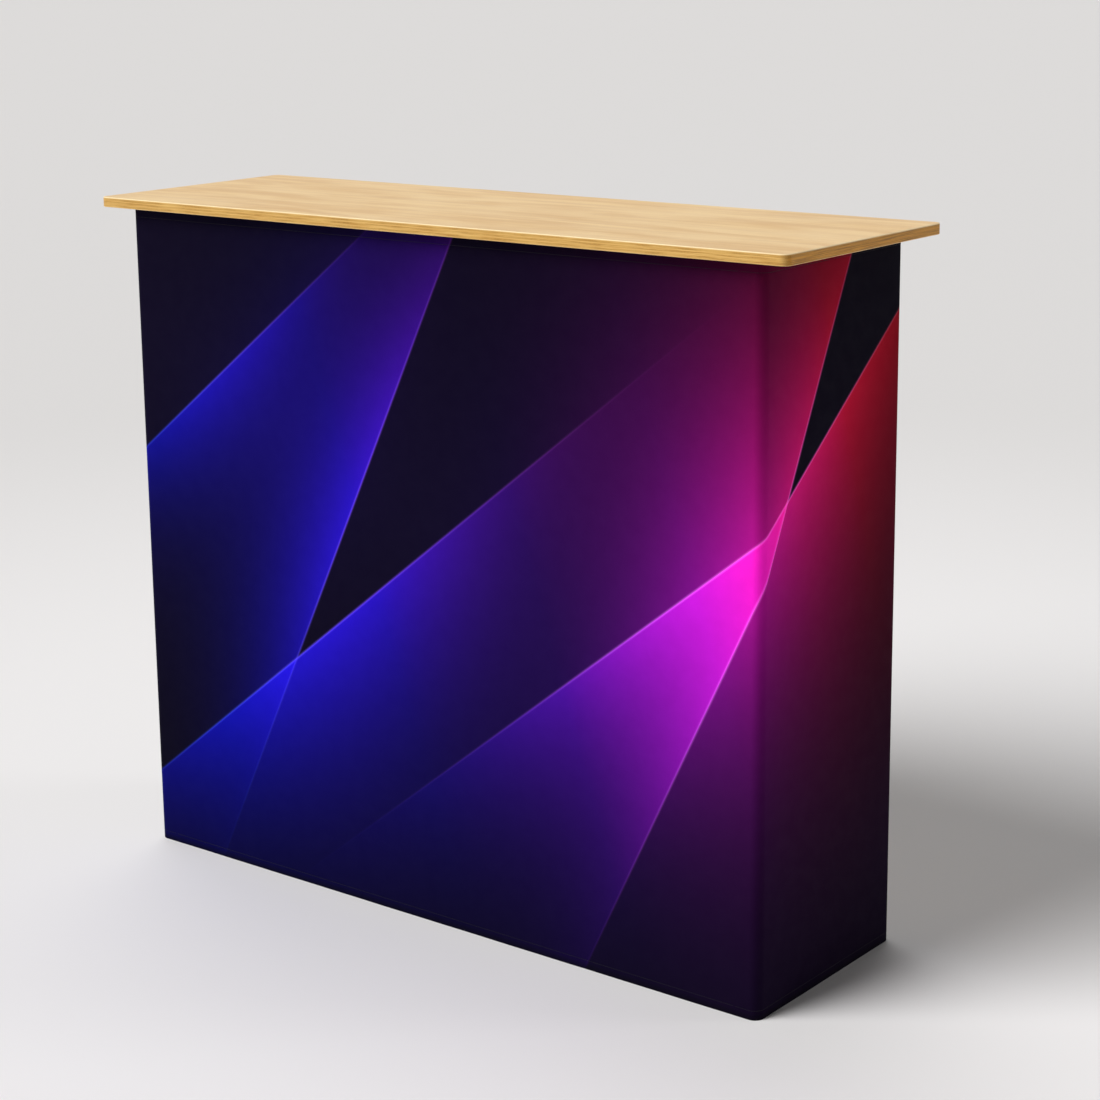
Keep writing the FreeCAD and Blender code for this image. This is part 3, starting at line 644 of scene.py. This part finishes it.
def make_light_blade():
    """Straight-edged fan of printed light: bright along one line, fading away on one side of it."""
    group, tree, given, out = new_group("light_blade", {
        "Place": ("Vector", (0, 0, 0)), "Start": ("Vector", (0, 0, 0)), "Along": ("Vector", (1, 0, 0)),
        "Across": ("Vector", (0, 1, 0)), "Fade": ("Float", 0.15), "Centre": ("Float", 0.4),
        "Reach": ("Float", 0.4), "Strength": ("Float", 1.0),
    }, {"Glow": "Float", "Line": "Float"})

    def bell(value):
        """1 where the value is 0, falling away on both sides."""
        return tree.calc("EXPONENT", tree.product(tree.calc("POWER", value, 2.0), -1.0))

    local = tree.vector("SUBTRACT", given["Place"], given["Start"])
    length = tree.vector("DOT_PRODUCT", local, given["Along"])
    inside = tree.vector("DOT_PRODUCT", local, given["Across"])
    from_centre = tree.calc("DIVIDE", tree.calc("SUBTRACT", length, given["Centre"]), given["Reach"])
    swell = tree.product(bell(from_centre), given["Strength"])
    falling = tree.calc("EXPONENT", tree.calc("DIVIDE", tree.product(inside, -1.0), given["Fade"]))
    lit = tree.band(inside, low=-BLADE_EDGE, high=BLADE_EDGE)
    tree.feed(out["Glow"], tree.product(falling, lit, swell))
    tree.feed(out["Line"], tree.product(bell(tree.calc("DIVIDE", inside, BLADE_LINE)), swell))
    return group


def make_knit():
    """Fine rows of loops, as height and as a slight change of tone."""
    group, tree, given, out = new_group(
        "knit", {"Place": ("Vector", (0, 0, 0)), "Pitch": ("Float", KNIT_PITCH)},
        {"Height": "Float", "Tone": "Float"})
    x, y, _ = tree.parts(given["Place"])
    turn = tree.calc("DIVIDE", 2 * math.pi, given["Pitch"])
    wales = tree.calc("SINE", tree.product(x, turn))
    courses = tree.calc("SINE", tree.total((y, turn), (wales, KNIT_LEAN)))
    loops = tree.total((wales, 0.5), (courses, 0.5))
    yarn = tree.noise(given["Place"], fineness=(260, 900, 1), detail=3, roughness=0.6)
    tree.feed(out["Height"], tree.calc("ADD", loops, yarn))
    tree.feed(out["Tone"], tree.noise(given["Place"], fineness=(38, 38, 1), detail=5, roughness=0.65))
    return group


light_blade = make_light_blade()
knit = make_knit()


def printed_cloth(name):
    """Knitted polyester, printed on its outer face. From behind, only a trace of ink comes through."""
    material, tree, shader = new_material(
        name, Specular_IOR_Level=0.03, Sheen_Weight=0.01, Sheen_Roughness=0.5)
    # The print is laid out from the middle of the front right corner. Each round corner, one and a half
    # of them up to there, is shorter than a square one.
    spared = CORNER_RADIUS * (2 - QUARTER_TURN)
    corner = sheet_length - RETURN_WIDTH - (wrap_high.y - wrap_low.y) + 1.5 * spared
    raw = tree.add("ShaderNodeAttribute", attribute_name="sheet_place").outputs["Vector"]
    place = tree.vector("SUBTRACT", raw, (corner, 0, 0))
    x, y, back = tree.parts(place)
    drift = tree.total((tree.calc("SUBTRACT", x, GLOW_START), GLOW_ALONG),
                       (tree.calc("SUBTRACT", y, GLOW_MIDDLE), GLOW_UP))
    glow_ink = tree.ramp(drift, GLOW_INKS)
    line_ink = tree.ramp(drift, LINE_INKS)
    rise = tree.total((y, GROUND_UP), (tree.calc("SUBTRACT", x, GROUND_START), GROUND_ALONG))
    ink = tree.ramp(rise, GROUND_INKS)
    for (start_x, start_y), slope, side, fade, centre, reach, strength in BLADES:
        along = (math.cos(math.radians(slope)), math.sin(math.radians(slope)), 0)
        across = (-along[1] * side, along[0] * side, 0)
        glow, line = use_group(tree, light_blade, Place=place, Start=(start_x, start_y, 0), Along=along,
                               Across=across, Fade=fade, Centre=centre, Reach=reach, Strength=strength)
        for share, colour in ((glow, glow_ink), (tree.product(line, LINE_INK_SHARE), line_ink)):
            ink = tree.mix(1.0, ink, tree.mix(share, NO_INK, colour), "ADD")
    height, mottle = use_group(tree, knit, Place=raw)
    ink = tree.mix(tree.band(mottle, low=0.3, high=0.75, out_high=0.05), ink, NO_INK)
    # Painted shade: the print darkens towards near black over its lowest 12 mm, standing in for the shade
    # along the foot.
    ink = tree.mix(tree.band(y, low=FOOT_PAINTED_SHADE, high=0.0, out_high=0.7), ink, tone(4, 3, 8))
    reverse = tree.mix(SOAK_SHARE, tone(206, 204, 210), ink)
    reverse = tree.mix(tree.band(mottle, low=0.3, high=0.75, out_high=0.25), reverse, tone(176, 174, 182))
    tree.feed(shader["Base Color"], tree.mix(back, ink, reverse))
    tree.feed(shader["Roughness"], tree.band(mottle, low=0.3, high=0.7, out_low=0.74, out_high=0.86))
    tree.feed(shader["Normal"], tree.bump(height, strength=0.15, distance=KNIT_RELIEF))
    return material


def hem_thread(name):
    """Dark spun polyester thread, slightly uneven from its twist."""
    material, tree, shader = new_material(name, Sheen_Weight=0.05, Specular_IOR_Level=0.2)
    twist = tree.noise(tree.place(), fineness=(3000, 3000, 3000), detail=2)
    colour = tree.mix(tree.band(twist, low=0.3, high=0.7), tone(6, 5, 11), tone(18, 16, 28))
    tree.feed(shader["Base Color"], colour)
    tree.feed(shader["Roughness"], tree.band(twist, low=0.3, high=0.7, out_low=0.5, out_high=0.7))
    return material


def stitch_rows():
    """Each stitch on the hems: its place along the sheet, its middle, the way it runs and faces."""
    line = HEM_WIDTH - STITCH_INSET
    stitches = []
    for height in (wrap_low.z + line, wrap_high.z - line):
        for (start, way, begin), (end, _, finish) in zip(path, path[1:]):
            run = Vector((*(end - start).normalized(), 0))
            for number in range(math.ceil(begin / STITCH_PITCH), math.ceil(finish / STITCH_PITCH)):
                along = number * STITCH_PITCH
                point = start.lerp(end, (along - begin) / (finish - begin))
                stitches.append((along, Vector((*point, height)), run, Vector((*way, 0))))
    upward = Vector((0, 0, 1))
    for (corner, way, along), sign in ((path[0], 1), (path[-1], -1)):
        point = corner + Vector((-line * sign, 0))
        for number in range(int(sheet_height / STITCH_PITCH)):
            middle = Vector((*point, wrap_low.z + STITCH_PITCH * (number + 0.5)))
            stitches.append((along + line * sign, middle, upward, Vector((*way, 0))))
    return stitches


def sew(name, stitches, material):
    """Lockstitch: short plump threads, each dipping into the cloth at both ends."""
    points, faces = [], []
    for _, middle, run, way in stitches:
        across = run.cross(way)
        first = len(points)
        for share, plump, lift in THREAD_RINGS:
            centre = middle + run * (STITCH_LENGTH * share) + way * (THREAD_RADIUS * lift - STITCH_GROOVE)
            for side in range(THREAD_SIDES):
                angle = 2 * math.pi * side / THREAD_SIDES
                spoke = across * math.cos(angle) + way * math.sin(angle)
                points.append(centre + spoke * (THREAD_RADIUS * plump))
        for ring in range(len(THREAD_RINGS) - 1):
            for side in range(THREAD_SIDES):
                a = first + ring * THREAD_SIDES + side
                b = first + ring * THREAD_SIDES + (side + 1) % THREAD_SIDES
                faces.append((a, b, b + THREAD_SIDES, a + THREAD_SIDES))
        end = first + (len(THREAD_RINGS) - 1) * THREAD_SIDES
        faces.append(tuple(first + side for side in reversed(range(THREAD_SIDES))))
        faces.append(tuple(end + side for side in range(THREAD_SIDES)))
    return add_piece(name, points, faces, material)


# The front length starts and ends one step inside the flat front, so both round corners ride with the ends.
# The front length and its stitches each get a mesh of their own.
FLAT_FRONT = -0.99999
front = [number for number, (_, way, _) in enumerate(columns) if way.y < FLAT_FRONT]
joins = (0, front[1], front[-2], len(columns) - 1)
LENGTHS = (
    ("left", "left_end", ["left_hook_tapes"]),
    ("front", "left_end", ["left_hook_tapes", "right_hook_tapes"]),
    ("right", "right_end", ["right_hook_tapes"]),
)
cloth = printed_cloth("printed_cloth")
thread = hem_thread("hem_thread")
all_stitches = stitch_rows()
margin = STITCH_LENGTH / 2
for (side, body, tapes), first, last in zip(LENGTHS, joins, joins[1:]):
    begin, finish = columns[first][2], columns[last][2]
    length = cut_length(f"printed_wrap_{side}", columns[first:last + 1], cloth)
    held = [stitch for stitch in all_stitches if begin + margin <= stitch[0] <= finish - margin]
    stitching = sew(f"hem_stitches_{side}", held, thread)
    for piece in (length, stitching):
        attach(piece, body)
        if side == "front":
            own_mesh(piece)
    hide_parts("fabric_wrap")


# Worktop. One plywood board, round at the corners, its edges eased with a router and the whole given
# a satin clear lacquer, which warms the sawn edges to gold. It lifts off its pads.

WORKTOP_PLIES = 7.0
WORKTOP_ROUGHNESS = 0.40
dress(board("worktop_ply", "worktop_board", WORKTOP_ROUGHNESS, Plies=WORKTOP_PLIES), "worktop_board")


# Studio. A pale seamless floor, a broad key light from the front left, a high one from behind on the
# left, a low fill from the rear right and a little light from all round. The camera stands where
# someone walking up to the counter would be.

FLOOR_REACH = 90.0
# The floor's colour darkens a little between these two distances from the counter: painted shade, standing
# in for the studio light falling off.
FLOOR_NEAR = 1.0
FLOOR_FAR = 4.0
SKY_SHARE = 0.08
# Each lamp: the way round that it shines from, its height and its width in degrees, and its share of
# the light on the floor.
LAMPS = {
    "key": (-31, 41, 36, 0.66),
    "rear_left": (-138, 66, 30, 0.19),
    "low_fill": (128, 12, 18, 0.035),
}
# The camera's way round, height and roll are in degrees, its distance and target in metres.
CAMERA_AZIMUTH = 38.83
CAMERA_HEIGHT = 12.57
CAMERA_ROLL = -0.81
CAMERA_DISTANCE = 3.552
CAMERA_TARGET = Vector((0.010, 0.016, 0.636))
SENSOR_WIDTH = 36.0
LENS = 80.35
LENS_SHIFT = (0.036, -0.073)


def bearing(azimuth, height):
    """Way from the counter, by degrees round from the front to the right and degrees up."""
    azimuth, height = math.radians(azimuth), math.radians(height)
    level = math.cos(height)
    return Vector((math.sin(azimuth) * level, -math.cos(azimuth) * level, math.sin(height)))


floor_paint, floor_tree, floor_shader = new_material("studio_floor", Roughness=0.9, Specular_IOR_Level=0.05)
# Painted shade: the floor is painted darker away from the counter, as the studio light falls off.
away = floor_tree.vector("LENGTH", floor_tree.place())
painted_falloff = floor_tree.band(away, low=FLOOR_NEAR, high=FLOOR_FAR)
floor_tone = floor_tree.mix(painted_falloff, tone(241, 239, 239), tone(224, 222, 221))
floor_tree.feed(floor_shader["Base Color"], floor_tone)
floor_corners = [(FLOOR_REACH * x, FLOOR_REACH * y, 0) for x, y in ((-1, -1), (1, -1), (1, 1), (-1, 1))]
studio_floor = add_piece("studio_floor", floor_corners, [(0, 1, 2, 3)], floor_paint)

world = bpy.data.worlds.new("studio")
world.use_nodes = True
sky = Tree(world.node_tree)
rays = sky.add("ShaderNodeLightPath").outputs
mirrored = sky.calc("MAXIMUM", rays["Is Glossy Ray"], rays["Is Transmission Ray"])
seen = sky.calc("MAXIMUM", rays["Is Camera Ray"], mirrored)
lighting = world.node_tree.nodes["Background"]
lighting.inputs["Color"].default_value = tone(253, 252, 250)
lighting.inputs["Strength"].default_value = SKY_SHARE
backdrop = sky.add("ShaderNodeBackground", {"Color": tone(221, 219, 218), "Strength": 1.0})
either = sky.add("ShaderNodeMixShader", (seen, lighting.outputs[0], backdrop.outputs[0]))
sky.feed(world.node_tree.nodes["World Output"].inputs["Surface"], either.outputs[0])
bpy.context.scene.world = world

for name, (azimuth, height, width, share) in LAMPS.items():
    source = bearing(azimuth, height)
    lamp = bpy.data.lights.new(name, "SUN")
    lamp.energy = share * math.pi / source.z
    lamp.angle = math.radians(width)
    holder = bpy.data.objects.new(name, lamp)
    holder.rotation_euler = (-source).to_track_quat("-Z", "Y").to_euler()
    bpy.context.scene.collection.objects.link(holder)

camera_data = bpy.data.cameras.new("camera")
camera_data.sensor_width = SENSOR_WIDTH
camera_data.lens = LENS
camera_data.shift_x, camera_data.shift_y = LENS_SHIFT
camera = bpy.data.objects.new("camera", camera_data)
outlook = bearing(CAMERA_AZIMUTH, CAMERA_HEIGHT)
roll = Quaternion((0, 0, 1), math.radians(CAMERA_ROLL))
camera.location = CAMERA_TARGET + outlook * CAMERA_DISTANCE
camera.rotation_mode = "QUATERNION"
camera.rotation_quaternion = (-outlook).to_track_quat("-Z", "Y") @ roll
bpy.context.scene.collection.objects.link(camera)
bpy.context.scene.camera = camera
bpy.context.scene.view_settings.view_transform = "Standard"
